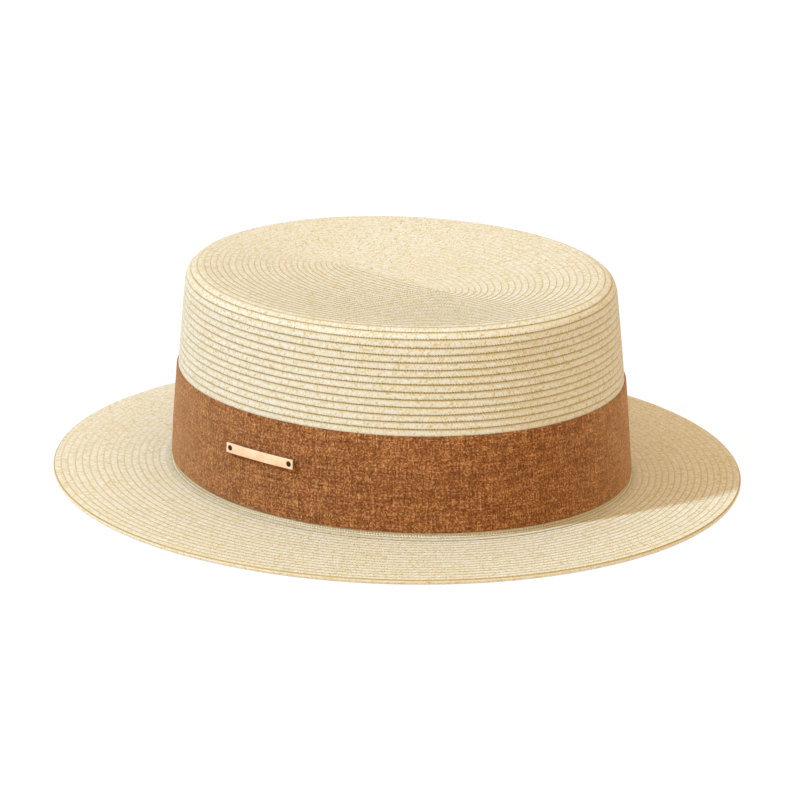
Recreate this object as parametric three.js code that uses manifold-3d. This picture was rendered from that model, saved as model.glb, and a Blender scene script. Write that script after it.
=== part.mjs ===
// A straw boater: a hat with a low oval crown and a flat brim, sewn from one narrow straw braid.
// The braid's turns overlap like shingles, so each turn's outer edge stands a little over the next.
// A folded cloth band goes round the crown's foot, and a small leather tag is riveted to the band.
// Millimetres, +Z up. The front is at -Y, and the origin is under the middle, on the resting plane.
import * as THREE from "three";
import { mergeVertices } from "three/addons/utils/BufferGeometryUtils.js";
import Module from "manifold-3d";

const wasm = await Module();
wasm.setup();

// Crown
const headLength = 195.6; // inside the crown's foot, front to back
const headWidth = 169.4; // inside the crown's foot, side to side
const strawWall = 2; // two layers of braid
const crownHeight = 85.3; // from the resting plane to the tip
const tipDrawInLength = 7.3; // how far the wall leans in at the front and at the back
const tipDrawInWidth = 4.8; // how far it leans in at each side
const wallBow = 0.4; // how far the wall bulges halfway up
const tipEdgeRadius = 5;
const tipSag = 4.5; // how far the tip's middle sinks below its rim
const tipFoldLength = 48; // the straight fold in the tip's middle that the braid is wound round
const footRadius = 1.6; // hollow curve from the wall to the last turn, which lies on the brim
const flangeWidth = 2.4; // the flat part of that turn
const flangeThickness = 1;

// Braid
const turnPitch = 3; // how much of each turn shows
const turnStep = 0.55; // how far a turn's edge stands over the next turn
const turnEdgeRun = 0.25; // how far that edge slopes

// Brim
const brimWidthEnds = 46.5; // from the crown's wall to the edge, at the front and the back
const brimWidthSides = 49.3;
const brimThickness = 1.9;
const edgeDrop = 0.7; // the last turn is folded over the edge and hangs this far below the brim
const edgeWidth = 3; // and it is this wide underneath, where the hat rests
const edgeRound = 0.7;

// Band
const bandHeight = 38.5;
const bandThickness = 1.2;
const bandLapAngle = 0; // degrees from +X: the ends overlap at the hat's left
const bandLapLength = 16;

// Tag and its rivets
const tagLength = 36;
const tagHeight = 4.1;
const tagThickness = 1.5;
const tagAngle = 185; // degrees from +X: it sits at the hat's right
const tagShareUp = 0.6; // its middle, as a share of the band's height
const tagEndLift = 0.5; // the leather is stiffer than the cloth, so its ends stand off
const rivetInset = 2.2; // from the tag's end to the rivet's middle
const rivetHeadRadius = 0.95;
const rivetHeadHeight = 0.35;
const rivetShankRadius = 0.5;

const clearance = 0.3; // between pieces that touch in the real hat

// How finely curves are cut
const quarterSides = 10; // sides in a quarter of the oval
const edgeSteps = 3;
const insideTipSteps = 3;
const bandSteps = 3;
const tagSteps = 10;
const rivetSides = 12;
const rivetDomeSteps = 2;
const weldDistance = 1e-4; // points closer than this are one

// Sizes that follow from those
const sides = 4 * quarterSides;
const footHalfWidth = headWidth / 2 + strawWall;
const footHalfLength = headLength / 2 + strawWall;
const tipHalfWidth = footHalfWidth - tipDrawInWidth;
const tipHalfLength = footHalfLength - tipDrawInLength;
const tipRun = tipHalfWidth - tipEdgeRadius;
const brimTop = edgeDrop + brimThickness;
const flangeUnder = brimTop - turnStep + clearance;
const flangeTop = flangeUnder + flangeThickness;
const flangeEnd = footHalfWidth + footRadius + flangeWidth;
const wallFoot = flangeTop + footRadius;
const wallLean = Math.atan2(footHalfWidth - tipHalfWidth, crownHeight - tipEdgeRadius - wallFoot);
const edgeTurn = Math.PI / 2 - wallLean;
const edgeRun = tipEdgeRadius * edgeTurn;
const wallTop = crownHeight - tipEdgeRadius * (1 - Math.cos(edgeTurn));
const wallTopHalfWidth = tipRun + tipEdgeRadius * Math.sin(edgeTurn);
const wallRun = Math.hypot(footHalfWidth - wallTopHalfWidth, wallTop - wallFoot);
const bandOuter = clearance + bandThickness;

// The band sits so low that the crown's flare takes up half of its clearance.
const bandFoot = wallFoot - Math.sqrt(footRadius ** 2 - (footRadius - clearance / 2) ** 2);
const bandTop = bandFoot + bandHeight;

// How much longer than wide the oval is, as a difference of half sizes.
const tipStretch = tipHalfLength - tipHalfWidth;
const footStretch = footHalfLength - footHalfWidth;

const lerp = THREE.MathUtils.lerp;
const radians = THREE.MathUtils.degToRad;

// A row is one oval section of a surface: its half width, half length and height.
const row = (halfWidth, stretch, z) => ({ halfWidth, halfLength: halfWidth + stretch, z });

// The crown's outside at a distance along the braid's way from the fold: over the tip, round its
// edge and down the wall. The offset is measured square to the surface.
function crownRow(run, offset) {
  if (run <= tipRun) {
    const share = run / tipRun;
    const sag = tipSag * (1 - share ** 2) ** (3 / 2);
    return row(run, lerp(tipFoldLength / 2, tipStretch, share), crownHeight - sag + offset);
  }
  if (run <= tipRun + edgeRun) {
    const turn = (run - tipRun) / tipEdgeRadius;
    const reach = tipEdgeRadius + offset;
    const z = crownHeight - tipEdgeRadius + reach * Math.cos(turn);
    return row(tipRun + reach * Math.sin(turn), tipStretch, z);
  }
  return wallRow((run - tipRun - edgeRun) / wallRun, offset);
}

// The crown's wall, at a share of the way from its top to its foot.
function wallRow(share, offset) {
  const bow = wallBow * 4 * share * (1 - share);
  const out = lerp(wallTopHalfWidth, footHalfWidth, share) + bow + offset * Math.cos(wallLean);
  const z = lerp(wallTop, wallFoot, share) + offset * Math.sin(wallLean);
  return row(out, lerp(tipStretch, footStretch, share), z);
}

const shareAtHeight = (z) => (wallTop - z) / (wallTop - wallFoot);

// A point of a row at an angle from +X, moved outwards by an extra offset.
function ovalPoint({ halfWidth, halfLength, z }, angle, extra = 0) {
  const x = (halfWidth + extra) * Math.cos(angle);
  const y = (halfLength + extra) * Math.sin(angle);
  return [x, y, z];
}

const evenAngles = Array.from({ length: sides }, (_, i) => (2 * Math.PI * i) / sides);

// A surface through rows of points, each row a closed ring. Triangles that collapse are left out.
function skin(rings, rowsClose) {
  const points = rings.flat();
  const count = rings[0].length;
  const spans = rowsClose ? rings.length : rings.length - 1;
  const index = [];
  const apart = (a, b) => points[a].some((v, k) => Math.abs(v - points[b][k]) > weldDistance);
  const add = (a, b, c) => {
    if (apart(a, b) && apart(b, c) && apart(c, a)) index.push(a, b, c);
  };
  for (let j = 0; j < spans; j++) {
    for (let i = 0; i < count; i++) {
      const next = (i + 1) % count;
      const upper = j * count;
      const lower = ((j + 1) % rings.length) * count;
      add(upper + i, lower + i, lower + next);
      add(upper + i, lower + next, upper + next);
    }
  }
  const geometry = new THREE.BufferGeometry();
  geometry.setAttribute("position", new THREE.Float32BufferAttribute(points.flat(), 3));
  geometry.setIndex(index);
  return mergeVertices(geometry, weldDistance);
}

const ovalSkin = (rows, rowsClose) =>
  skin(rows.map((r) => evenAngles.map((angle) => ovalPoint(r, angle))), rowsClose);

// Where the braid's turns end on the tip, its edge and the wall above the band.
function turnEnds() {
  const tipRuns = [tipHalfWidth, tipHalfLength - tipFoldLength / 2];
  const tipTurns = Math.round((tipRuns[0] + tipRuns[1]) / 2 / turnPitch);
  const ends = Array.from({ length: tipTurns }, (_, i) => (tipRun * (i + 1)) / tipTurns);
  const bandRun = tipRun + edgeRun + wallRun * shareAtHeight(bandTop);
  for (let run = tipRun + turnPitch; run < bandRun - turnPitch / 2; run += turnPitch) ends.push(run);
  return ends;
}

// Two rows at the end of each turn: its own raised edge, and the start of the turn below.
const steppedRows = (ends, rowAt) =>
  ends.flatMap((run) => [rowAt(run, turnStep), rowAt(run + turnEdgeRun, 0)]);

function crownGeometry() {
  const outside = [crownRow(0, 0), ...steppedRows(turnEnds(), crownRow)];
  for (const z of [bandTop, lerp(bandTop, wallFoot, 1 / 2)]) outside.push(wallRow(shareAtHeight(z), 0));
  const foot = [];
  for (let i = 0; i <= edgeSteps; i++) {
    const turn = (Math.PI / 2) * (i / edgeSteps);
    const out = footHalfWidth + footRadius * (1 - Math.cos(turn));
    foot.push(row(out, footStretch, wallFoot - footRadius * Math.sin(turn)));
  }
  const under = [
    row(flangeEnd, footStretch, flangeTop),
    row(flangeEnd, footStretch, flangeUnder),
    row(footHalfWidth, footStretch, flangeUnder),
    row(footHalfWidth, footStretch, edgeDrop),
    row(footHalfWidth - strawWall, footStretch, edgeDrop),
  ];
  const insideRuns = [wallRun, wallRun / 2, 0].map((run) => tipRun + edgeRun + run);
  for (let i = edgeSteps - 1; i >= 0; i--) insideRuns.push(tipRun + (edgeRun * i) / edgeSteps);
  for (let i = insideTipSteps - 1; i >= 0; i--) insideRuns.push((tipRun * i) / insideTipSteps);
  const inside = insideRuns.map((run) => crownRow(run, -strawWall));
  return ovalSkin([...outside, ...foot, ...under, ...inside], false);
}

function brimGeometry() {
  const inner = footHalfWidth + clearance;
  const edge = footHalfWidth + brimWidthSides;
  const stretchAt = (out) =>
    footStretch + ((brimWidthEnds - brimWidthSides) * (out - footHalfWidth)) / brimWidthSides;
  const brimRow = (out, z) => row(out, stretchAt(out), z);
  const turns = Math.round((edge - flangeEnd) / turnPitch);
  const ends = Array.from({ length: turns }, (_, i) => lerp(flangeEnd, edge, (i + 1) / turns));
  const at = (out, offset) => brimRow(out, brimTop + offset - turnStep);
  const rows = [
    at(inner, 0),
    at(flangeEnd, 0),
    ...steppedRows(ends.slice(0, -1), at),
    at(edge - edgeRound, turnStep),
    at(edge, turnStep - edgeRound),
    brimRow(edge, edgeRound),
    brimRow(edge - edgeRound, 0),
    brimRow(edge - edgeWidth, 0),
    brimRow(edge - edgeWidth - edgeDrop, edgeDrop),
    brimRow(inner, edgeDrop),
  ];
  return ovalSkin(rows, true);
}

// The band is one strip whose outer end lies over its inner end, so it is twice as thick there.
function bandGeometry() {
  const lapMiddle = radians(bandLapAngle);
  const lapHalf = bandLapLength / 2 / footHalfLength;
  const lapEdge = bandThickness / 2 / footHalfLength;
  const lapAngles = [-lapHalf - lapEdge, -lapHalf, lapHalf, lapHalf + lapEdge];
  const plain = evenAngles.map((angle) => turnFrom(angle, lapMiddle));
  const clear = plain.filter((a) => lapAngles.every((lap) => Math.abs(a - lap) > lapEdge / 2));
  const offsets = [...clear, ...lapAngles];
  const onLap = (a) => Math.abs(a) < lapHalf + lapEdge / 2;
  offsets.sort((a, b) => a - b);
  const ring = (height, offset) => {
    const r = wallRow(shareAtHeight(height), offset);
    const outside = offset > clearance;
    return offsets.map((a) => ovalPoint(r, a + lapMiddle, outside && onLap(a) ? bandThickness : 0));
  };
  const heights = Array.from({ length: bandSteps + 1 }, (_, i) =>
    lerp(bandTop, bandFoot, i / bandSteps),
  );
  const outer = heights.map((z) => ring(z, bandOuter));
  const inner = heights.reverse().map((z) => ring(z, clearance));
  return skin([...outer, ...inner], true);
}

// The signed angle from one direction to another, from minus to plus half a turn.
function turnFrom(angle, middle) {
  const turn = (angle - middle) % (2 * Math.PI);
  if (turn > Math.PI) return turn - 2 * Math.PI;
  return turn < -Math.PI ? turn + 2 * Math.PI : turn;
}

const tagMiddleHeight = lerp(bandFoot, bandTop, tagShareUp);

// The frame of a place on the band's outside: its point, its way out and its way along.
function placeOnBand(along) {
  const r = wallRow(shareAtHeight(tagMiddleHeight), bandOuter);
  const middle = radians(tagAngle);
  const speed = Math.hypot(r.halfWidth * Math.sin(middle), r.halfLength * Math.cos(middle));
  const angle = middle + along / speed;
  const point = new THREE.Vector3(...ovalPoint(r, angle));
  const tangent = new THREE.Vector3(
    -r.halfWidth * Math.sin(angle),
    r.halfLength * Math.cos(angle),
    0,
  ).normalize();
  const up = new THREE.Vector3(-Math.cos(angle), -Math.sin(angle), 0)
    .multiplyScalar(Math.tan(wallLean))
    .add(new THREE.Vector3(0, 0, 1))
    .normalize();
  const out = new THREE.Vector3().crossVectors(tangent, up);
  return { point, tangent, up, out };
}

const tagLift = (along) => clearance + tagEndLift * (along / (tagLength / 2)) ** 2;

function tagStripGeometry() {
  const rings = [];
  for (let i = 0; i <= tagSteps; i++) {
    const along = lerp(-tagLength / 2, tagLength / 2, i / tagSteps);
    const { point, up, out } = placeOnBand(along);
    const corner = (high, depth) =>
      point
        .clone()
        .addScaledVector(up, (high * tagHeight) / 2)
        .addScaledVector(out, tagLift(along) + depth)
        .toArray();
    rings.push([corner(-1, tagThickness), corner(1, tagThickness), corner(1, 0), corner(-1, 0)]);
  }
  const closed = skin(rings, false).toNonIndexed();
  const cap = (ring, order) => order.flatMap((k) => ring[k]);
  const position = [
    ...closed.getAttribute("position").array,
    ...cap(rings[0], [0, 1, 2, 0, 2, 3]),
    ...cap(rings[tagSteps], [0, 2, 1, 0, 3, 2]),
  ];
  const geometry = new THREE.BufferGeometry();
  geometry.setAttribute("position", new THREE.Float32BufferAttribute(position, 3));
  return geometry;
}

// A turned piece standing square to the tag, with its zero height on the tag's face.
function onTag(profile, along) {
  const points = profile.map(([radius, height]) => new THREE.Vector2(radius, height));
  const geometry = new THREE.LatheGeometry(points, rivetSides);
  const { point, tangent, up, out } = placeOnBand(along);
  const base = point.clone().addScaledVector(out, tagLift(along) + tagThickness);
  const turn = new THREE.Matrix4().makeBasis(up, out, tangent).setPosition(base);
  return geometry.applyMatrix4(turn);
}

function solidOf(geometry) {
  const bare = new THREE.BufferGeometry();
  const source = geometry.index ? geometry.toNonIndexed() : geometry;
  bare.setAttribute("position", source.getAttribute("position"));
  const merged = mergeVertices(bare, weldDistance);
  const vertProperties = merged.getAttribute("position").array;
  const triVerts = new Uint32Array(merged.index.array);
  return new wasm.Manifold(new wasm.Mesh({ numProp: 3, vertProperties, triVerts }));
}

function geometryOf(solid) {
  const { vertProperties, triVerts } = solid.getMesh();
  const geometry = new THREE.BufferGeometry();
  geometry.setAttribute("position", new THREE.BufferAttribute(vertProperties, 3));
  geometry.setIndex(new THREE.BufferAttribute(triVerts, 1));
  return geometry;
}

const rivetPlaces = [-1, 1].map((end) => end * (tagLength / 2 - rivetInset));

function tagGeometry() {
  const radius = rivetShankRadius + clearance;
  const reach = tagThickness + clearance;
  const drill = [
    [0, -reach],
    [radius, -reach],
    [radius, reach],
    [0, reach],
  ];
  const holes = rivetPlaces.map((along) => solidOf(onTag(drill, along)));
  return geometryOf(holes.reduce((tag, hole) => tag.subtract(hole), solidOf(tagStripGeometry())));
}

function rivetGeometry(along) {
  const profile = [
    [0, -tagThickness],
    [rivetShankRadius, -tagThickness],
    [rivetShankRadius, clearance],
  ];
  for (let i = 0; i <= rivetDomeSteps; i++) {
    const turn = (Math.PI / 2) * (i / rivetDomeSteps);
    profile.push([rivetHeadRadius * Math.cos(turn), clearance + rivetHeadHeight * Math.sin(turn)]);
  }
  return onTag(profile, along);
}

const straw = new THREE.MeshStandardMaterial({ color: 0xead9b4, roughness: 0.75, metalness: 0 });
const cloth = new THREE.MeshStandardMaterial({ color: 0x9c6234, roughness: 0.9, metalness: 0 });
const leather = new THREE.MeshStandardMaterial({ color: 0xe2b386, roughness: 0.6, metalness: 0 });
const metal = new THREE.MeshStandardMaterial({ color: 0x2c2420, roughness: 0.4, metalness: 0.8 });

const hat = new THREE.Group();

function addPiece(name, geometry, material) {
  const mesh = new THREE.Mesh(geometry, material);
  mesh.name = name;
  hat.add(mesh);
}

addPiece("crown", crownGeometry(), straw);
addPiece("brim", brimGeometry(), straw);
addPiece("band", bandGeometry(), cloth);
addPiece("tag", tagGeometry(), leather);
rivetPlaces.forEach((along, i) => addPiece(`tag_rivet_${i + 1}`, rivetGeometry(along), metal));

export default hat;
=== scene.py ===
"""A straw boater: crown and brim of sewn straw braid, a linen band and a small leather tag.

Lengths here are in millimetres, and the finished meshes are in metres. The hat's front is at -Y.
"""

import math
from collections import namedtuple

import bmesh
import bpy
import numpy as np
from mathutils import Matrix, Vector


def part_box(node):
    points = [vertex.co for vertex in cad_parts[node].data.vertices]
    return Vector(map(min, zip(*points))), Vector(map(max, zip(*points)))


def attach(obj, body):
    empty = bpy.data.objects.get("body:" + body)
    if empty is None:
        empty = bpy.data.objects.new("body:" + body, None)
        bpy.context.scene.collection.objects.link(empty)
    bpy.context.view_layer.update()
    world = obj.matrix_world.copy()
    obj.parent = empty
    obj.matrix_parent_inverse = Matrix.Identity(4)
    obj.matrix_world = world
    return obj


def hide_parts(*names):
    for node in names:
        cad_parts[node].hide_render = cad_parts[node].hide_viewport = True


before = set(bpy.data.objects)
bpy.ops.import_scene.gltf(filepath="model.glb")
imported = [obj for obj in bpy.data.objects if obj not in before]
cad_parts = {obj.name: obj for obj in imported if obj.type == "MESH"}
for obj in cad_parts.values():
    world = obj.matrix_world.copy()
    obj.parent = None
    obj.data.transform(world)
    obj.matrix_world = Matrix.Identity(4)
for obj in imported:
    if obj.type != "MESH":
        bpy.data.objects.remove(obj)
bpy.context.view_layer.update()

METRES = 0.001
TAU = 2 * math.pi
BRAID_SEED = 11
rng = np.random.default_rng(BRAID_SEED)


def corner_sizes(node):
    """A node's lowest and highest corners in millimetres."""
    return [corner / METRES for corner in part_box(node)]


_, CROWN_HIGH = corner_sizes("crown")
_, BRIM_HIGH = corner_sizes("brim")
BAND_LOW, BAND_HIGH = corner_sizes("band")

# Braid
TURN_STEP = 0.55  # how far a turn's edge stands over the next turn on the solids
TURN_PITCH = 2.92  # how much of each turn shows
TIP_TURNS = 26
TIP_TURNS_RUN = 77.4  # from the fold to the end of the tip's last turn
PLAIT_UNIT = 1.1  # from one tooth of a turn's edge to the next
TOOTH_STEP = PLAIT_UNIT / 2  # each tooth has one point, and so has each gap
TOOTH_LEAST = 0.75  # each tooth reaches at least this share of an even one
TOOTH_SPREAD = 0.5  # and at most this much more
PLAIN_STEP = 4.5  # between the points of a turn that the band hides
WANDER_REACH = 0.2  # how far a turn strays from its even place
WANDER_GROWS = 4  # turns from the fold until it strays that far
TURN_U_APART = 500  # between the plait coordinates of two turns, so that no two look alike
FLAT_RELIEF = 0.16  # the tip and the brim are pressed flatter than the wall
FLARE_RELIEF = 0.45
HIDDEN_RELIEF = 0.3  # under the band
FLAT_SPREAD = 0.62  # how much of a turn's painted shade strips and golden rim line shows on the flat faces
OVAL_SAMPLES = 721  # for measuring an oval's length
LEAST_PAIRS = 12  # of points round an oval

# Crown
TIP_DRAW_IN_LENGTH = 7.3  # how far the wall leans in at the front and at the back
TIP_DRAW_IN_WIDTH = 4.8  # and at each side
TIP_EDGE_RADIUS = 6.0
TIP_FOLD_LENGTH = 48.0
TIP_FOLD_SHIFT = 4.7  # how far behind the tip's middle the fold lies
TIP_SAG = 4.5
TIP_SAG_POWER = 1.5  # how soon the sag ends towards the rim
TIP_DROP = 0.4  # how far the sewn tip lies under the solid's
WALL_BOW = 0.4
FOOT_RADIUS = 1.6
FLANGE_WIDTH = 2.4
FLANGE_LIFT = 0.2  # the flared turn's surface over the brim's
CLEARANCE = 0.3
TIP_MIDDLE_TURNS = 17
UPPER_WALL_TURNS = 8
SHOWN_FOOT_TURNS = 2  # the crown's last turns come out under the band
CROWN_STEPS = 40  # in each part of the crown's section

# Brim
EDGE_INSET = 0.35  # the last flat turn ends this far inside the folded edge
EDGE_SHIFT = (-1.4, 1.4)  # the brim is a little wider behind and at the hat's right
BRIM_STEPS = 20

# Band
BAND_THICKNESS = 1.2
BAND_LAP_LENGTH = 16.0
BAND_LAP_ANGLE = 0.0  # from +X, so the ends overlap at the hat's left
BAND_LAP_LIFT = 0.8 * BAND_THICKNESS  # how far the overlap stands over the rest
BAND_LAP_SLOPE = 0.5  # the length in which the lap's edge rises
BAND_EDGE_ROUND = 0.35
BAND_FACE = 1.25  # from the wall's surface to the cloth's outside
BAND_RISE = 0.4  # the cloth's upper edge stands this far over the solid's
BAND_BULGE = 0.06  # how far the cloth waves in and out
BAND_DIP = 0.12  # how far the cloth's edges stray up and down
BAND_DIP_WAVES = 4
BAND_DIP_START = 1.3
BAND_ROWS = 40
BAND_COLUMNS = 720

# Tag and its rivets
TAG_LENGTH = 34.6
TAG_HEIGHT = 4.0
TAG_THICKNESS = 1.5
TAG_ANGLE = math.radians(185.4)  # from +X, so it sits at the hat's right
TAG_SHARE_UP = 0.6  # its middle, as a share of the band's height
TAG_END_LIFT = 0.8  # how far its ends stand off the cloth
TAG_EDGE_ROUND = 0.22
TAG_EDGE_STEPS = 3
TAG_SLICES = 41
HOLE_INSET = 1.95  # from the tag's end to the hole's middle
HOLE_RADIUS = 1.12
HOLE_SIDES = 32
DRILL_DEPTH = 3 * TAG_THICKNESS
RIVET_HEAD_RADIUS = 0.97 * HOLE_RADIUS
RIVET_SHANK_RADIUS = 0.5
RIVET_SHANK_TOP = -0.5  # this and the next two are heights over the tag's face
RIVET_HEAD_FOOT = -0.45
RIVET_HEAD_RIM = -0.2
RIVET_DOME_HEIGHT = 0.3
RIVET_DOME_STEPS = 6
RIVET_SIDES = 28
WELD_DISTANCE = 1e-4

CROWN_HEIGHT = CROWN_HIGH.z - TURN_STEP - TIP_DROP
FOOT_HALF_WIDTH = CROWN_HIGH.x - FOOT_RADIUS - FLANGE_WIDTH
FOOT_STRETCH = CROWN_HIGH.y - CROWN_HIGH.x
TIP_HALF_WIDTH = FOOT_HALF_WIDTH - TIP_DRAW_IN_WIDTH
TIP_STRETCH = FOOT_STRETCH - TIP_DRAW_IN_LENGTH + TIP_DRAW_IN_WIDTH
BRIM_FACE = BRIM_HIGH.z - TURN_STEP
FLANGE_FACE = BRIM_FACE + FLANGE_LIFT
EDGE_HALF_WIDTH = BRIM_HIGH.x
EDGE_STRETCH = BRIM_HIGH.y - BRIM_HIGH.x
BAND_TOP = BAND_HIGH.z + BAND_RISE
BAND_LOOP = math.pi * (BAND_HIGH.x + BAND_HIGH.y)

# One point of a braid's section. Share is across the turn, from its start to its edge. Lift is off
# the surface. Tooth is how far the edge's teeth reach, and ridge how far the plait rises and falls.
SectionPoint = namedtuple("SectionPoint", "share lift tooth ridge v")
TURN_SECTION = [
    SectionPoint(share=-0.23, lift=-0.15, tooth=0.00, ridge=0.00, v=-0.23),
    SectionPoint(share=0.05, lift=0.02, tooth=0.00, ridge=0.05, v=0.05),
    SectionPoint(share=0.38, lift=0.25, tooth=0.00, ridge=-0.09, v=0.38),
    SectionPoint(share=0.74, lift=0.46, tooth=0.04, ridge=0.08, v=0.74),
    SectionPoint(share=1.00, lift=0.50, tooth=0.22, ridge=0.00, v=1.00),
    SectionPoint(share=0.97, lift=0.06, tooth=0.22, ridge=0.00, v=1.15),
    SectionPoint(share=-0.23, lift=-1.00, tooth=0.00, ridge=0.00, v=2.20),
]
PLAIN_SECTION = [
    SectionPoint(share=-0.23, lift=-0.15, tooth=0.0, ridge=0.0, v=-0.23),
    SectionPoint(share=1.00, lift=0.50, tooth=0.0, ridge=0.0, v=1.00),
    SectionPoint(share=0.97, lift=0.06, tooth=0.0, ridge=0.0, v=1.15),
    SectionPoint(share=-0.23, lift=-1.00, tooth=0.0, ridge=0.0, v=2.20),
]
SECTION_END_V = 2.5

# The folded edge's section: how far out from the edge, how high, and the plait's ridge and place.
EdgePoint = namedtuple("EdgePoint", "out z ridge v")
# Its v puts the top of the folded edge in the tucked strip's painted shadow, under the last flat turn's
# edge.
EDGE_SECTION = [
    EdgePoint(out=-1.30, z=2.00, ridge=0.00, v=-0.23),
    EdgePoint(out=-0.30, z=2.10, ridge=0.00, v=0.05),
    EdgePoint(out=-0.05, z=1.75, ridge=0.05, v=0.12),
    EdgePoint(out=0.00, z=1.20, ridge=-0.09, v=0.45),
    EdgePoint(out=-0.05, z=0.60, ridge=0.08, v=0.70),
    EdgePoint(out=-0.40, z=0.16, ridge=-0.05, v=0.85),
    EdgePoint(out=-1.00, z=0.00, ridge=0.00, v=1.00),
    EdgePoint(out=-2.70, z=0.00, ridge=0.00, v=1.15),
    EdgePoint(out=-3.00, z=0.60, ridge=0.00, v=1.40),
    EdgePoint(out=-2.60, z=1.10, ridge=0.00, v=2.20),
]

# Slow waves round an oval: how many, how strong, and how far they turn from one turn of braid to
# the next, or over how many millimetres up the band they turn by one radian.
TurnWave = namedtuple("TurnWave", "count size shift")
WANDER_WAVES = [
    TurnWave(count=3, size=1.0, shift=0.9),
    TurnWave(count=7, size=0.7, shift=2.3),
]
BandWave = namedtuple("BandWave", "count size slant")
BAND_WAVES = [
    BandWave(count=5, size=1.0, slant=9.0),
    BandWave(count=13, size=0.6, slant=-5.0),
]


# Surfaces


class Profile:
    """The section of an oval surface, read by the distance along it from its inner end.

    Each oval has a half width, how much longer its half length is, a height and a middle. The
    relief is how far the braid's steps stand out there.
    """

    def __init__(self, half_width, stretch, z, middle_x, middle_y, relief):
        self.rows = np.array([half_width, stretch, z, middle_x, middle_y, relief], float)
        out, up = np.diff(self.rows[0]), np.diff(self.rows[2])
        self.run = np.concatenate([[0], np.cumsum(np.hypot(out, up))])
        self.out = np.gradient(self.rows[0], self.run)
        self.up = np.gradient(self.rows[2], self.run)

    def at(self, run):
        return [np.interp(run, self.run, row) for row in self.rows]

    def normal(self, run):
        out, up = (np.interp(run, self.run, row) for row in (self.out, self.up))
        size = np.hypot(out, up)
        return -up / size, out / size

    def run_at_height(self, z):
        """The distance to a height on the part beyond the section's highest point."""
        rim = int(np.argmax(self.rows[2]))
        return np.interp(z, self.rows[2][rim:][::-1], self.run[rim:][::-1])

    def points(self, run, angle, lift):
        """Points at distances along the section and at angles round the oval, lifted off it."""
        half_width, stretch, z, middle_x, middle_y, _ = self.at(run)
        out, up = self.normal(run)
        half_width = np.maximum(half_width + lift * out, 0)
        x = middle_x + half_width * np.cos(angle)
        y = middle_y + (half_width + stretch) * np.sin(angle)
        return np.stack(np.broadcast_arrays(x, y, z + lift * up), -1)


def bow(share):
    """Rises from 0 to 1 halfway, and falls back to 0."""
    return 4 * share * (1 - share)


def crown_profile():
    """From the fold over the tip, round its edge, down the wall and out along the flare."""
    tip_run = TIP_HALF_WIDTH - TIP_EDGE_RADIUS
    foot = FLANGE_FACE + FOOT_RADIUS
    lean = math.atan2(TIP_DRAW_IN_WIDTH, CROWN_HEIGHT - TIP_EDGE_RADIUS - foot)
    step = np.linspace(0, 1, CROWN_STEPS)
    tip_z = CROWN_HEIGHT - TIP_SAG * (1 - step**2) ** TIP_SAG_POWER
    turn = (math.pi / 2 - lean) * step[1:]
    edge_out = tip_run + TIP_EDGE_RADIUS * np.sin(turn)
    edge_z = CROWN_HEIGHT - TIP_EDGE_RADIUS * (1 - np.cos(turn))
    down = step[1:]
    wall_out = edge_out[-1] + (FOOT_HALF_WIDTH - edge_out[-1]) * down + WALL_BOW * bow(down)
    wall_z = edge_z[-1] + (foot - edge_z[-1]) * down
    flare = math.pi / 2 * step[1:]
    flare_out = FOOT_HALF_WIDTH + FOOT_RADIUS * (1 - np.cos(flare))
    flare_z = foot - FOOT_RADIUS * np.sin(flare)
    beyond = len(turn) + len(down) + len(flare) + 1
    return Profile(
        half_width=[*(tip_run * step), *edge_out, *wall_out, *flare_out, CROWN_HIGH.x],
        stretch=[
            *(TIP_FOLD_LENGTH / 2 + (TIP_STRETCH - TIP_FOLD_LENGTH / 2) * step),
            *np.full(len(turn), TIP_STRETCH),
            *(TIP_STRETCH + (FOOT_STRETCH - TIP_STRETCH) * down),
            *np.full(len(flare) + 1, FOOT_STRETCH),
        ],
        z=[*tip_z, *edge_z, *wall_z, *flare_z, FLANGE_FACE],
        middle_x=np.zeros(len(step) + beyond),
        middle_y=[*(TIP_FOLD_SHIFT * (1 - step)), *np.zeros(beyond)],
        relief=[
            *np.full(len(step), FLAT_RELIEF),
            *(FLAT_RELIEF + (1 - FLAT_RELIEF) * step[1:]),
            *np.ones(len(down)),
            *np.full(len(flare) + 1, FLARE_RELIEF),
        ],
    )


def brim_profile():
    """From the crown's wall out to the folded edge."""
    step = np.linspace(0, 1, BRIM_STEPS)
    start = FOOT_HALF_WIDTH + CLEARANCE
    return Profile(
        half_width=start + (EDGE_HALF_WIDTH - EDGE_INSET - start) * step,
        stretch=FOOT_STRETCH + (EDGE_STRETCH - FOOT_STRETCH) * step,
        z=np.full(len(step), BRIM_FACE),
        middle_x=EDGE_SHIFT[0] * step,
        middle_y=EDGE_SHIFT[1] * step,
        relief=np.full(len(step), FLAT_RELIEF),
    )


CROWN = crown_profile()
BRIM = brim_profile()


def even_angles(half_width, half_length, step):
    """Angles round an oval, an even number of them and evenly spaced along it."""
    angle = np.linspace(0, TAU, OVAL_SAMPLES)
    pieces = np.hypot(np.diff(half_width * np.cos(angle)), np.diff(half_length * np.sin(angle)))
    length = np.concatenate([[0], np.cumsum(pieces)])
    count = 2 * max(round(length[-1] / step / 2), LEAST_PAIRS)
    places = (np.arange(count) + rng.random()) * length[-1] / count
    return np.interp(places, length, angle)


# Meshes


def grid_faces(rows, columns, first=0):
    """Quads of a surface that closes both ways, as corner indices."""
    row, column = np.meshgrid(np.arange(rows), np.arange(columns), indexing="ij")
    next_row = (row + 1) % rows
    next_column = (column + 1) % columns
    corners = [
        row * columns + column,
        next_row * columns + column,
        next_row * columns + next_column,
        row * columns + next_column,
    ]
    return first + np.stack(corners, -1).reshape(-1, 4)


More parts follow.
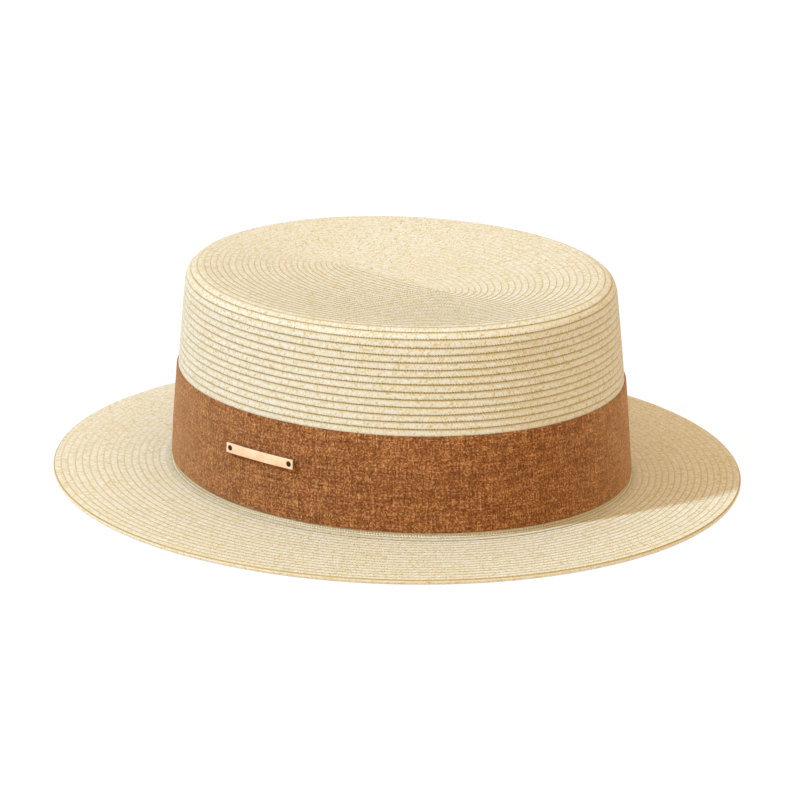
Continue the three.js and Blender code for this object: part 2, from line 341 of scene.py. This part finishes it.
def grid_uv(u, v):
    """Corner coordinates of the same quads, from one value more than rows and than columns."""
    low_u, low_v = np.meshgrid(u[:-1], v[:-1], indexing="ij")
    high_u, high_v = np.meshgrid(u[1:], v[1:], indexing="ij")
    corners = [(low_u, low_v), (high_u, low_v), (high_u, high_v), (low_u, high_v)]
    return np.stack([np.stack(corner, -1) for corner in corners], 2).reshape(-1, 2)


def add_object(name, mesh):
    piece = bpy.data.objects.new(name, mesh)
    bpy.context.collection.objects.link(piece)
    return piece


def smooth(mesh, sharp_from):
    """Smooth shading, but for edges sharper than an angle."""
    mesh.polygons.foreach_set("use_smooth", np.ones(len(mesh.polygons), bool))
    mesh.set_sharp_from_angle(angle=math.radians(sharp_from))


def grid_object(name, points, faces, uv, uv_name):
    mesh = bpy.data.meshes.new(name)
    mesh.from_pydata((points * METRES).tolist(), [], faces.tolist())
    layer = mesh.uv_layers.new(name=uv_name)
    layer.uv.foreach_set("vector", np.asarray(uv, np.float32).ravel())
    return add_object(name, mesh)


def wander(index, angle):
    """How far the start of a turn strays, the same for both turns that meet there."""
    waves = [wave.size * np.sin(wave.count * angle + wave.shift * index) for wave in WANDER_WAVES]
    share = sum(waves) / sum(wave.size for wave in WANDER_WAVES)
    return WANDER_REACH * share * min(index / WANDER_GROWS, 1)


def teeth(count):
    """Out and in by turns round an oval, each by its own uneven share."""
    side = np.where(np.arange(count) % 2 == 0, 1, -1)
    return side * (TOOTH_LEAST + TOOTH_SPREAD * rng.random(count))


def turn_mesh(profile, index, ends, hidden):
    """One turn of braid: its points, its counts of rows and columns, and its plait coordinates."""
    section = PLAIN_SECTION if hidden else TURN_SECTION
    step = PLAIN_STEP if hidden else TOOTH_STEP
    start, end = ends[index], ends[index + 1]
    half_width, stretch, _, _, _, relief = profile.at((start + end) / 2)
    if hidden:
        relief = HIDDEN_RELIEF
    angle = even_angles(half_width, half_width + stretch, step)
    count = len(angle)
    tooth = teeth(count)
    low = start + wander(index, angle) * (index > 0)
    high = end + wander(index + 1, angle) * (index + 2 < len(ends))
    columns = []
    for point in section:
        run = low + (high - low) * point.share + point.tooth * tooth
        raised = relief if point.lift > 0 else 1
        lift = raised * (point.lift + point.ridge * tooth)
        columns.append(profile.points(np.maximum(run, 0), angle, lift))
    u = np.arange(count + 1) * step / PLAIT_UNIT + TURN_U_APART * index
    spread = FLAT_SPREAD + (1 - FLAT_SPREAD) * (relief - FLAT_RELIEF) / (1 - FLAT_RELIEF)
    v = np.array([point.v for point in section] + [SECTION_END_V])
    v = 0.5 + (v - 0.5) * spread
    return np.stack(columns, 1).reshape(-1, 3), (count, len(section)), grid_uv(u, v)


def braid(name, profile, ends, turns, plain=()):
    """A piece made of some of a surface's turns of braid."""
    points, faces, uv = [], [], []
    first = 0
    for index in turns:
        turn_points, (rows, columns), turn_uv = turn_mesh(profile, index, ends, index in plain)
        points.append(turn_points)
        faces.append(grid_faces(rows, columns, first))
        uv.append(turn_uv)
        first += len(turn_points)
    return grid_object(name, *(np.concatenate(part) for part in (points, faces, uv)), "plait")


def even_ends(start, end):
    """Where turns between two distances end."""
    return np.linspace(start, end, round((end - start) / TURN_PITCH) + 1)[1:]


def brim_edge():
    """The last turn, folded over the brim's edge."""
    angle = even_angles(EDGE_HALF_WIDTH, EDGE_HALF_WIDTH + EDGE_STRETCH, TOOTH_STEP)
    count = len(angle)
    tooth = teeth(count)
    columns = []
    for point in EDGE_SECTION:
        half_width = EDGE_HALF_WIDTH + point.out + point.ridge * (tooth - 1)
        x = EDGE_SHIFT[0] + half_width * np.cos(angle)
        y = EDGE_SHIFT[1] + (half_width + EDGE_STRETCH) * np.sin(angle)
        columns.append(np.stack([x, y, np.full(count, point.z)], -1))
    points = np.stack(columns, 1).reshape(-1, 3)
    u = np.arange(count + 1) * TOOTH_STEP / PLAIT_UNIT
    v = np.array([point.v for point in EDGE_SECTION] + [SECTION_END_V])
    return grid_object("brim_edge", points, grid_faces(count, len(EDGE_SECTION)), grid_uv(u, v), "plait")


# Band


def wall_at(z, lift):
    """Half width and stretch of the crown's wall at a height, with a lift off it."""
    run = CROWN.run_at_height(z)
    half_width, stretch, *_ = CROWN.at(run)
    return half_width + lift * CROWN.normal(run)[0], stretch


def wall_ring(z, lift, angle, dip=0.0):
    """Points round the crown's wall at a height, lifted off it and strayed up or down."""
    half_width, stretch = wall_at(z, lift)
    x = half_width * np.cos(angle)
    y = (half_width + stretch) * np.sin(angle)
    return np.stack([x, y, np.full(len(angle), z) + dip], -1)


def band_piece():
    """A strip round the wall, whose outer end lies over its inner end."""
    angle = BAND_LAP_ANGLE + np.linspace(0, TAU, BAND_COLUMNS, endpoint=False)
    turned = np.abs((angle - BAND_LAP_ANGLE + math.pi) % TAU - math.pi)
    away = turned * (BAND_HIGH.y + BAND_HIGH.x) / 2
    lap = np.clip((BAND_LAP_LENGTH / 2 - away) / BAND_LAP_SLOPE + 0.5, 0, 1)
    height = np.linspace(BAND_TOP, BAND_LOW.z, BAND_ROWS)
    edge = np.minimum(BAND_TOP - height, height - BAND_LOW.z)
    past_edge = np.clip(1 - edge / BAND_EDGE_ROUND, 0, 1)
    round_off = BAND_EDGE_ROUND * (1 - np.sqrt(1 - past_edge**2))
    share_up = (height - BAND_LOW.z) / (BAND_TOP - BAND_LOW.z)
    dip = BAND_DIP * np.sin(BAND_DIP_WAVES * angle + BAND_DIP_START)
    columns = []
    for z, inset, share in zip(height, round_off, share_up):
        waves = [wave.size * np.sin(wave.count * angle + z / wave.slant) for wave in BAND_WAVES]
        lift = BAND_FACE - inset + BAND_BULGE * sum(waves) + BAND_LAP_LIFT * lap
        columns.append(wall_ring(z, lift, angle, dip * (2 * share - 1)))
    back = [BAND_LOW.z + BAND_EDGE_ROUND, BAND_TOP - BAND_EDGE_ROUND]
    columns += [wall_ring(z, CLEARANCE, angle) for z in back]
    points = np.stack(columns, 1).reshape(-1, 3)
    u = np.linspace(0, BAND_LOOP, len(angle) + 1)
    v = np.array([*height, *back, BAND_TOP]) - BAND_LOW.z
    faces = grid_faces(len(angle), len(columns))
    piece = grid_object("band_cloth", points, faces, grid_uv(u, v), "cloth")
    smooth(piece.data, sharp_from=40)
    return piece


# Tag


def place_on_band(along, up, out):
    """A point by its distance along the band from the tag's middle, up it and out of it."""
    middle_z = BAND_LOW.z + (BAND_HIGH.z - BAND_LOW.z) * TAG_SHARE_UP
    half_width, stretch = (float(value) for value in wall_at(middle_z, BAND_FACE))
    half_length = half_width + stretch
    speed = math.hypot(half_width * math.sin(TAG_ANGLE), half_length * math.cos(TAG_ANGLE))
    angle = TAG_ANGLE + along / speed
    tangent = Vector((-half_width * math.sin(angle), half_length * math.cos(angle), 0)).normalized()
    lean = TIP_DRAW_IN_WIDTH / CROWN_HEIGHT
    rise = Vector((-math.cos(angle) * lean, -math.sin(angle) * lean, 1)).normalized()
    outward = tangent.cross(rise)
    point = Vector((half_width * math.cos(angle), half_length * math.sin(angle), middle_z))
    return point + rise * up + outward * out


def tag_lift(along):
    """The leather is stiffer than the cloth, so its ends stand off."""
    return CLEARANCE + TAG_END_LIFT * (along / (TAG_LENGTH / 2)) ** 2


def bend_onto_band(mesh):
    """Turns a flat mesh, made along X, up Y and out Z in millimetres, into its place."""
    for vertex in mesh.vertices:
        along, up, out = vertex.co
        vertex.co = place_on_band(along, up, out + tag_lift(along)) * METRES


def edit_mesh(mesh, edit):
    shape = bmesh.new()
    shape.from_mesh(mesh)
    edit(shape)
    shape.to_mesh(mesh)
    shape.free()


def tag_block(shape):
    bmesh.ops.create_cube(shape, size=1)
    for vertex in shape.verts:
        x, y, z = vertex.co
        vertex.co = Vector((x * TAG_LENGTH, y * TAG_HEIGHT, (z + 0.5) * TAG_THICKNESS))


def tag_drills(shape):
    for end in (-1, 1):
        made = bmesh.ops.create_cone(
            shape,
            cap_ends=True,
            segments=HOLE_SIDES,
            radius1=HOLE_RADIUS,
            radius2=HOLE_RADIUS,
            depth=DRILL_DEPTH,
        )
        place = (end * (TAG_LENGTH / 2 - HOLE_INSET), 0, 0)
        bmesh.ops.translate(shape, verts=made["verts"], vec=place)


def slice_tag(shape):
    """Cuts the flat tag across so that it can bend, and gives each corner its place in the leather."""
    for cut_at in np.linspace(-TAG_LENGTH / 2, TAG_LENGTH / 2, TAG_SLICES + 1)[1:-1]:
        parts = [*shape.verts, *shape.edges, *shape.faces]
        bmesh.ops.bisect_plane(shape, geom=parts, plane_co=(cut_at, 0, 0), plane_no=(1, 0, 0))
    layer = shape.loops.layers.uv.new("leather")
    for face in shape.faces:
        for loop in face.loops:
            loop[layer].uv = (loop.vert.co.x, loop.vert.co.z / TAG_THICKNESS)


def apply_modifiers(piece):
    graph = bpy.context.evaluated_depsgraph_get()
    baked = bpy.data.meshes.new_from_object(piece.evaluated_get(graph))
    piece.modifiers.clear()
    old = piece.data
    piece.data = baked
    bpy.data.meshes.remove(old)


def tag_plate():
    """The leather bar, flat, with a hole near each end and its edges eased, then bent."""
    piece = add_object("tag_leather", bpy.data.meshes.new("tag_leather"))
    cutter = add_object("tag_holes", bpy.data.meshes.new("tag_holes"))
    edit_mesh(piece.data, tag_block)
    edit_mesh(cutter.data, tag_drills)
    cut = piece.modifiers.new("holes", "BOOLEAN")
    cut.operation = "DIFFERENCE"
    cut.object = cutter
    cut.solver = "EXACT"
    ease = piece.modifiers.new("eased edges", "BEVEL")
    ease.width = TAG_EDGE_ROUND
    ease.segments = TAG_EDGE_STEPS
    ease.limit_method = "ANGLE"
    apply_modifiers(piece)
    bpy.data.objects.remove(cutter)
    edit_mesh(piece.data, slice_tag)
    bend_onto_band(piece.data)
    smooth(piece.data, sharp_from=35)
    return piece


def weld(shape):
    bmesh.ops.remove_doubles(shape, verts=shape.verts, dist=WELD_DISTANCE)


def rivet(name, along):
    """A small domed rivet, sunk in its hole."""
    section = [
        (0.0, -TAG_THICKNESS),
        (RIVET_SHANK_RADIUS, -TAG_THICKNESS),
        (RIVET_SHANK_RADIUS, RIVET_SHANK_TOP),
        (RIVET_HEAD_RADIUS, RIVET_HEAD_FOOT),
        (RIVET_HEAD_RADIUS, RIVET_HEAD_RIM),
    ]
    for turn in np.linspace(0, math.pi / 2, RIVET_DOME_STEPS + 1)[1:]:
        height = RIVET_HEAD_RIM + RIVET_DOME_HEIGHT * math.sin(turn)
        section.append((RIVET_HEAD_RADIUS * math.cos(turn), height))
    points = []
    for radius, height in section:
        for angle in np.linspace(0, TAU, RIVET_SIDES, endpoint=False):
            x = along + radius * math.cos(angle)
            points.append((x, radius * math.sin(angle), TAG_THICKNESS + height))
    faces = []
    for row in range(len(section) - 1):
        low, high = row * RIVET_SIDES, (row + 1) * RIVET_SIDES
        for column in range(RIVET_SIDES):
            following = (column + 1) % RIVET_SIDES
            faces.append((low + column, low + following, high + following, high + column))
    mesh = bpy.data.meshes.new(name)
    mesh.from_pydata(points, [], faces)
    edit_mesh(mesh, weld)
    bend_onto_band(mesh)
    smooth(mesh, sharp_from=50)
    return add_object(name, mesh)


# Materials


class Nodes:
    """Short calls for one material's nodes."""

    def __init__(self, name):
        self.material = bpy.data.materials.new(name)
        self.material.use_nodes = True
        self.tree = self.material.node_tree
        self.shader = self.tree.nodes["Principled BSDF"]

    def link(self, value, socket):
        if isinstance(value, bpy.types.NodeSocket):
            self.tree.links.new(value, socket)
        elif value is not None:
            socket.default_value = value

    def math(self, operation, a, b=None):
        node = self.tree.nodes.new("ShaderNodeMath")
        node.operation = operation
        for value, socket in zip((a, b), node.inputs):
            self.link(value, socket)
        return node.outputs[0]

    def add(self, *values):
        total = values[0]
        for value in values[1:]:
            total = self.math("ADD", total, value)
        return total

    def times(self, a, b):
        return self.math("MULTIPLY", a, b)

    def uv(self, name):
        node = self.tree.nodes.new("ShaderNodeUVMap")
        node.uv_map = name
        split = self.tree.nodes.new("ShaderNodeSeparateXYZ")
        self.tree.links.new(node.outputs[0], split.inputs[0])
        return split.outputs[0], split.outputs[1]

    def vector(self, x, y):
        node = self.tree.nodes.new("ShaderNodeCombineXYZ")
        for value, socket in zip((x, y), node.inputs):
            self.link(value, socket)
        return node.outputs[0]

    def place(self):
        """Where a point is on the object, in metres."""
        node = self.tree.nodes.new("ShaderNodeTexCoord")
        return node.outputs["Object"]

    def noise(self, vector, scale=1.0, detail=3.0):
        node = self.tree.nodes.new("ShaderNodeTexNoise")
        self.link(vector, node.inputs["Vector"])
        self.link(scale, node.inputs["Scale"])
        self.link(detail, node.inputs["Detail"])
        return node.outputs["Fac"]

    def random(self, x, y):
        node = self.tree.nodes.new("ShaderNodeTexWhiteNoise")
        node.noise_dimensions = "2D"
        self.link(self.vector(x, y), node.inputs["Vector"])
        return node.outputs["Value"]

    def ramp(self, value, stops):
        node = self.tree.nodes.new("ShaderNodeValToRGB")
        elements = node.color_ramp.elements
        while len(elements) < len(stops):
            elements.new(0.5)
        for element, stop in zip(elements, stops):
            element.position = stop.place
            element.color = (*stop.colour, 1)
        self.link(value, node.inputs[0])
        return node.outputs[0]

    def map_range(self, value, span):
        """The value's range between two ends stretched to another range, and level beyond them."""
        node = self.tree.nodes.new("ShaderNodeMapRange")
        for socket, number in zip(list(node.inputs)[:5], (value, *span)):
            self.link(number, socket)
        return node.outputs[0]

    def mix(self, factor, a, b, blend="MIX"):
        node = self.tree.nodes.new("ShaderNodeMix")
        node.data_type = "RGBA"
        node.blend_type = blend
        self.link(factor, node.inputs["Factor"])
        for value, socket in zip((a, b), (node.inputs[6], node.inputs[7])):
            self.link((*value, 1) if isinstance(value, tuple) else value, socket)
        return node.outputs[2]

    def shade(self, tone, brightness):
        """The tone made lighter or darker by a factor."""
        node = self.tree.nodes.new("ShaderNodeCombineColor")
        for socket in node.inputs:
            self.link(brightness, socket)
        return self.mix(1.0, tone, node.outputs[0], "MULTIPLY")

    def bump(self, height, strength, distance):
        node = self.tree.nodes.new("ShaderNodeBump")
        self.link(strength, node.inputs["Strength"])
        self.link(distance * METRES, node.inputs["Distance"])
        self.link(height, node.inputs["Height"])
        return node.outputs[0]

    def finish(self, colour, roughness, normal=None, specular=0.5):
        self.link(colour, self.shader.inputs["Base Color"])
        self.link(roughness, self.shader.inputs["Roughness"])
        self.link(normal, self.shader.inputs["Normal"])
        self.shader.inputs["Specular IOR Level"].default_value = specular
        return self.material


def linear(red, green, blue):
    """A colour given as screen values from 0 to 255."""
    values = [channel / 255 for channel in (red, green, blue)]
    return tuple(v / 12.92 if v <= 0.04045 else ((v + 0.055) / 1.055) ** 2.4 for v in values)


Stop = namedtuple("Stop", "place colour")
Span = namedtuple("Span", "low high to_low to_high")

# Straw. The seam, the tucked part and the rim are strips along each turn, placed by v. The seam and the
# tucked part are painted shade where the edge of the turn before lies over this one; the rim's golden
# line is partly the braid's darker edge and partly painted shade.
STRAW_TONES = [
    Stop(place=0.0, colour=linear(209, 200, 180)),
    Stop(place=0.5, colour=linear(204, 192, 165)),
    Stop(place=0.8, colour=linear(198, 180, 140)),
    Stop(place=0.95, colour=linear(189, 165, 114)),
    Stop(place=1.0, colour=linear(176, 146, 88)),
]
STRAW_PATCH = linear(195, 176, 132)
STRAW_GAP = linear(160, 130, 76)
STRAW_SEAM_SHADE = linear(186, 158, 96)
STRAW_TUCKED_SHADOW = linear(142, 111, 42)
STRAW_RIM_AND_SHADE = linear(146, 116, 46)
FIBRE_SHADE = Span(low=0.25, high=0.75, to_low=0.94, to_high=1.04)
PATCH_SHARE = Span(low=0.35, high=0.7, to_low=0.07, to_high=0.22)
GAP_SHARE = Span(low=0.38, high=0.5, to_low=0.0, to_high=0.22)
SEAM_SHADE_SHARE = Span(low=0.16, high=0.38, to_low=0.75, to_high=0.0)
TUCKED_SHADOW_SHARE = Span(low=0.04, high=0.2, to_low=0.9, to_high=0.0)
RIM_AND_SHADE_START = Span(low=0.96, high=1.03, to_low=0.0, to_high=1.0)
RIM_AND_SHADE_END = Span(low=1.2, high=1.3, to_low=0.8, to_high=0.0)
STRAW_ROUGHNESS = Span(low=0.2, high=0.8, to_low=0.52, to_high=0.7)
STRANDS_PER_UNIT = 2.0
STRAND_ROWS = 4
FIBRES_ACROSS = 5.0
FIBRES_ALONG = 1.3
FIBRE_HEIGHT = 0.5
PATCH_SCALE = 30.0
# Painted light: the same straw is drawn a little darker on the crown and paler on the brim, to stand in
# for how each is lit.
CROWN_PAINTED_LIGHT = 0.96
BRIM_PAINTED_LIGHT = 1.05  # painted light: the brim's straw is drawn paler than the crown's in place of the light it gets


def straw_material(name, brightness):
    """Fine straws plaited in a herringbone, mostly cream with some golden ones. Each turn has painted
    shade where the edge of the turn before lies over it, and a golden rim line that is partly painted
    shade; the brightness factor is painted light.
    """
    n = Nodes(name)
    u, v = n.uv("plait")
    rows = n.times(v, STRAND_ROWS)
    slant = n.math("PINGPONG", rows, 1.0)
    crossing = n.add(n.times(u, STRANDS_PER_UNIT), slant)
    straw = n.math("FLOOR", crossing)
    within = n.math("SUBTRACT", crossing, straw)
    tone = n.ramp(n.random(straw, n.math("FLOOR", rows)), STRAW_TONES)
    fibres = n.noise(n.vector(n.times(crossing, FIBRES_ACROSS), n.times(v, FIBRES_ALONG)))
    tone = n.shade(tone, n.map_range(fibres, FIBRE_SHADE))
    patches = n.noise(n.place(), PATCH_SCALE)
    tone = n.mix(n.map_range(patches, PATCH_SHARE), tone, STRAW_PATCH)
    off_middle = n.math("ABSOLUTE", n.math("SUBTRACT", within, 0.5))
    tone = n.mix(n.map_range(off_middle, GAP_SHARE), tone, STRAW_GAP)
    # painted shade: a soft darker band where the edge of the turn before lies over this one
    tone = n.mix(n.map_range(v, SEAM_SHADE_SHARE), tone, STRAW_SEAM_SHADE)
    # painted shadow: the strip tucked just under the edge of the turn before
    tone = n.mix(n.map_range(v, TUCKED_SHADOW_SHARE), tone, STRAW_TUCKED_SHADOW)
    # the golden line at each turn's edge: partly the braid's darker edge, partly painted shade under it
    rim = n.times(n.map_range(v, RIM_AND_SHADE_START), n.map_range(v, RIM_AND_SHADE_END))
    tone = n.mix(rim, tone, STRAW_RIM_AND_SHADE)
    # painted light: the crown's and the brim's brightness factor
    tone = n.shade(tone, brightness)
    round_straw = n.math("SINE", n.times(within, math.pi))
    height = n.add(round_straw, n.times(fibres, FIBRE_HEIGHT))
    normal = n.bump(height, strength=0.3, distance=0.08)
    return n.finish(tone, n.map_range(fibres, STRAW_ROUGHNESS), normal, specular=0.35)


# Linen. Noise along the threads makes each of them lighter and darker over a long way.
LINEN_TONES = [
    Stop(place=0.12, colour=linear(81, 40, 12)),
    Stop(place=0.4, colour=linear(115, 64, 26)),
    Stop(place=0.6, colour=linear(139, 84, 40)),
    Stop(place=0.88, colour=linear(186, 130, 77)),
]
THREAD_PITCH = 0.48
WARP_APART = 7.3
WARP_ALONG = 0.1
WEFT_APART = 5.7
WEFT_ALONG = 0.07
THREAD_SHADE = Span(low=0.3, high=0.7, to_low=0.12, to_high=0.38)
CROSSING_SHADE = Span(low=0.0, high=1.0, to_low=-0.28, to_high=0.28)
WARP_OVER_SHADE = Span(low=0.0, high=1.0, to_low=-0.04, to_high=0.04)
BLOTCH_SHADE = Span(low=0.3, high=0.7, to_low=0.86, to_high=1.1)
BLOTCH_ACROSS = 0.5
BLOTCH_UP = 0.9
BLOTCH_SCALE = 0.35
SHADE_HEIGHT = 0.8
LINEN_SHEEN_TINT = (1.0, 0.62, 0.3, 1)


def linen_height(n, across, up, warp_over, shade):
    """Round threads that go over and under each other."""
    warp_round = n.math("ABSOLUTE", n.math("SINE", n.times(across, math.pi)))
    weft_round = n.math("ABSOLUTE", n.math("SINE", n.times(up, math.pi)))
    over = n.times(warp_over, n.math("SUBTRACT", warp_round, weft_round))
    return n.add(weft_round, over, n.times(shade, SHADE_HEIGHT))


def cloth_material():
    """Plain-woven linen: threads of uneven thickness and shade, tan brown."""
    n = Nodes("band_linen")
    u, v = n.uv("cloth")
    across = n.math("DIVIDE", u, THREAD_PITCH)
    up = n.math("DIVIDE", v, THREAD_PITCH)
    warp = n.math("FLOOR", across)
    weft = n.math("FLOOR", up)
    warp_over = n.math("MODULO", n.add(warp, weft), 2.0)
    warp_noise = n.noise(n.vector(n.times(warp, WARP_APART), n.times(v, WARP_ALONG)), detail=2.0)
    weft_noise = n.noise(n.vector(n.times(u, WEFT_ALONG), n.times(weft, WEFT_APART)), detail=2.0)
    shade = n.add(
        n.map_range(warp_noise, THREAD_SHADE),
        n.map_range(weft_noise, THREAD_SHADE),
        n.map_range(n.random(warp, weft), CROSSING_SHADE),
        n.map_range(warp_over, WARP_OVER_SHADE),
    )
    blotch = n.noise(n.vector(n.times(u, BLOTCH_ACROSS), n.times(v, BLOTCH_UP)), BLOTCH_SCALE)
    tone = n.shade(n.ramp(shade, LINEN_TONES), n.map_range(blotch, BLOTCH_SHADE))
    normal = n.bump(linen_height(n, across, up, warp_over, shade), strength=0.6, distance=0.12)
    n.shader.inputs["Sheen Weight"].default_value = 0.55
    n.shader.inputs["Sheen Roughness"].default_value = 0.4
    n.shader.inputs["Sheen Tint"].default_value = LINEN_SHEEN_TINT
    return n.finish(tone, 0.9, normal, specular=0.15)


LEATHER_TONES = [
    Stop(place=0.3, colour=linear(214, 168, 125)),
    Stop(place=0.55, colour=linear(226, 181, 139)),
    Stop(place=0.75, colour=linear(233, 194, 154)),
]
LEATHER_CUT_AND_SHADE = linear(104, 62, 34)
LEATHER_GRAIN_SCALE = 3200.0
LEATHER_PATCH_SCALE = 260.0
PORE_SHADE = Span(low=0.0, high=0.5, to_low=0.92, to_high=1.02)
CUT_AND_SHADE_SHARE = Span(low=0.7, high=0.92, to_low=0.9, to_high=0.0)


def leather_material():
    """Pale natural leather with a fine grain; its cut edges and underside are dark brown, partly
    burnished and partly painted shade.
    """
    n = Nodes("tag_leather")
    _, depth = n.uv("leather")
    grain = n.tree.nodes.new("ShaderNodeTexVoronoi")
    n.link(n.place(), grain.inputs["Vector"])
    n.link(LEATHER_GRAIN_SCALE, grain.inputs["Scale"])
    pore = grain.outputs["Distance"]
    tone = n.ramp(n.noise(n.place(), LEATHER_PATCH_SCALE), LEATHER_TONES)
    tone = n.shade(tone, n.map_range(pore, PORE_SHADE))
    # dark brown on the tag's sides and underside: partly burnished cut edges, partly painted shade
    tone = n.mix(n.map_range(depth, CUT_AND_SHADE_SHARE), tone, LEATHER_CUT_AND_SHADE)
    return n.finish(tone, 0.55, n.bump(pore, strength=0.2, distance=0.05), specular=0.4)


METAL_TONES = [
    Stop(place=0.35, colour=linear(38, 28, 20)),
    Stop(place=0.6, colour=linear(58, 42, 28)),
    Stop(place=0.75, colour=linear(96, 72, 46)),
]
METAL_WEAR_SCALE = 900.0
METAL_ROUGHNESS = Span(low=0.3, high=0.7, to_low=0.5, to_high=0.32)


def rivet_material():
    """Dark aged brass, rubbed brighter in places."""
    n = Nodes("rivet_metal")
    wear = n.noise(n.place(), METAL_WEAR_SCALE)
    n.shader.inputs["Metallic"].default_value = 0.85
    return n.finish(n.ramp(wear, METAL_TONES), n.map_range(wear, METAL_ROUGHNESS))


FLOOR_TONES = [
    Stop(place=0.0, colour=(0.08, 0.08, 0.08)),
    Stop(place=1.0, colour=(0.09, 0.09, 0.09)),
]
FLOOR_SPECKLE_SCALE = 60.0
FLOOR_GLOW = (0.955, 0.915, 0.93, 1)


def floor_material():
    """A white sweep, lit from under as well so that shadows on it stay faint."""
    n = Nodes("floor")
    tone = n.ramp(n.noise(n.place(), FLOOR_SPECKLE_SCALE, detail=2.0), FLOOR_TONES)
    n.shader.inputs["Emission Color"].default_value = FLOOR_GLOW
    n.shader.inputs["Emission Strength"].default_value = 1.0
    return n.finish(tone, 0.9, specular=0.0)


# Stage

FLOOR_REACH = 6000
FLOOR_CORNERS = [(-1, -1, 0), (1, -1, 0), (1, 1, 0), (-1, 1, 0)]
SKY_COLOUR = (1.0, 0.83, 0.655, 1)
SUN_DISTANCE = 2.0

# Where each sun stands, in degrees from +X towards +Y and over the floor, and how wide it is.
Sun = namedtuple("Sun", "name azimuth elevation energy colour width")
SUNS = [
    Sun("key", azimuth=158, elevation=46.2, energy=4.1, colour=(0.46, 0.675, 1.0), width=3),
    Sun("front", azimuth=244, elevation=40, energy=0.98, colour=(0.95, 1.0, 0.9), width=60),
]


def floor():
    points = np.array(FLOOR_CORNERS, float) * FLOOR_REACH
    piece = grid_object("floor", points, np.array([[0, 1, 2, 3]]), np.zeros((4, 2)), "flat")
    piece.data.materials.append(floor_material())


def add_sun(sun):
    data = bpy.data.lights.new(sun.name, "SUN")
    data.energy = sun.energy
    data.color = sun.colour
    data.angle = math.radians(sun.width)
    azimuth, elevation = math.radians(sun.azimuth), math.radians(sun.elevation)
    flat = math.cos(elevation)
    direction = Vector((flat * math.cos(azimuth), flat * math.sin(azimuth), math.sin(elevation)))
    light = bpy.data.objects.new(sun.name, data)
    light.location = direction * SUN_DISTANCE
    light.rotation_mode = "QUATERNION"
    light.rotation_quaternion = direction.to_track_quat("Z", "Y")
    bpy.context.collection.objects.link(light)


def lights():
    world = bpy.data.worlds.new("studio")
    world.use_nodes = True
    background = world.node_tree.nodes["Background"]
    background.inputs["Color"].default_value = SKY_COLOUR
    background.inputs["Strength"].default_value = 1.0
    bpy.context.scene.world = world
    for sun in SUNS:
        add_sun(sun)
    bpy.context.scene.view_settings.view_transform = "Standard"


# Camera

CAMERA_AZIMUTH = math.radians(-44.76)  # from the hat's front, minus towards its right
CAMERA_ELEVATION = math.radians(17.3)
CAMERA_DISTANCE = 1703.5
CAMERA_PIVOT = Vector((0, 0, 40.0))  # where the distance is measured from
CAMERA_AIM = Vector((0, 0, 29.0))  # what is in the picture's middle
CAMERA_LENS = 187.2
CAMERA_SENSOR = 36
CAMERA_REACH = 100  # metres


def camera():
    data = bpy.data.cameras.new("camera")
    data.lens = CAMERA_LENS
    data.sensor_width = CAMERA_SENSOR
    data.clip_end = CAMERA_REACH
    eye = bpy.data.objects.new("camera", data)
    flat = math.cos(CAMERA_ELEVATION)
    side = math.sin(CAMERA_AZIMUTH) * flat
    front = -math.cos(CAMERA_AZIMUTH) * flat
    place = CAMERA_PIVOT + Vector((side, front, math.sin(CAMERA_ELEVATION))) * CAMERA_DISTANCE
    eye.location = place * METRES
    eye.rotation_mode = "QUATERNION"
    eye.rotation_quaternion = (place - CAMERA_AIM).to_track_quat("Z", "Y")
    bpy.context.collection.objects.link(eye)
    bpy.context.scene.camera = eye


# Hat


def dress(piece, material, node):
    """Gives a piece its material, puts it under the root body and hides the node it stands in for."""
    piece.data.materials.append(material)
    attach(piece, "root")
    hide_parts(node)
    return piece


def crown():
    """The crown, cut into pieces between turns of braid. Returns its foot, which the band is on."""
    straw = straw_material("crown_straw_painted_darker", CROWN_PAINTED_LIGHT)
    tip_ends = np.linspace(0, TIP_TURNS_RUN, TIP_TURNS + 1)
    ends = np.concatenate([tip_ends, even_ends(TIP_TURNS_RUN, CROWN.run[-1])])
    turns = len(ends) - 1
    under_band = int(np.searchsorted(ends, CROWN.run_at_height(BAND_HIGH.z) + TURN_PITCH))
    hidden = range(under_band, turns - SHOWN_FOOT_TURNS)
    upper_end = TIP_TURNS + UPPER_WALL_TURNS
    parts = {
        "crown_tip_middle": range(TIP_MIDDLE_TURNS),
        "crown_tip_rim": range(TIP_MIDDLE_TURNS, TIP_TURNS),
        "crown_wall_upper": range(TIP_TURNS, upper_end),
        "crown_wall_lower": range(upper_end, under_band),
        "crown_foot": range(under_band, turns),
    }
    pieces = {}
    for name, part in parts.items():
        pieces[name] = dress(braid(name, CROWN, ends, part, hidden), straw, "crown")
    return pieces["crown_foot"]


def brim():
    """The brim, cut into rings between turns of braid, and its folded edge."""
    straw = straw_material("brim_straw_painted_lighter", BRIM_PAINTED_LIGHT)
    ends = np.concatenate([[0], even_ends(0, BRIM.run[-1])])
    turns = len(ends) - 1
    third = turns // 3
    parts = {
        "brim_inner": range(third),
        "brim_middle": range(third, 2 * third),
        "brim_outer": range(2 * third, turns),
    }
    for name, part in parts.items():
        dress(braid(name, BRIM, ends, part), straw, "brim")
    dress(brim_edge(), straw, "brim")


def band():
    piece = dress(band_piece(), cloth_material(), "band")


def tag():
    dress(tag_plate(), leather_material(), "tag")
    metal = rivet_material()
    for number, end in enumerate((-1, 1), 1):
        name = f"tag_rivet_{number}"
        head = rivet(f"{name}_head", end * (TAG_LENGTH / 2 - HOLE_INSET))
        dress(head, metal, name)


camera()
lights()
floor()
foot = crown()
brim()
band()
tag()
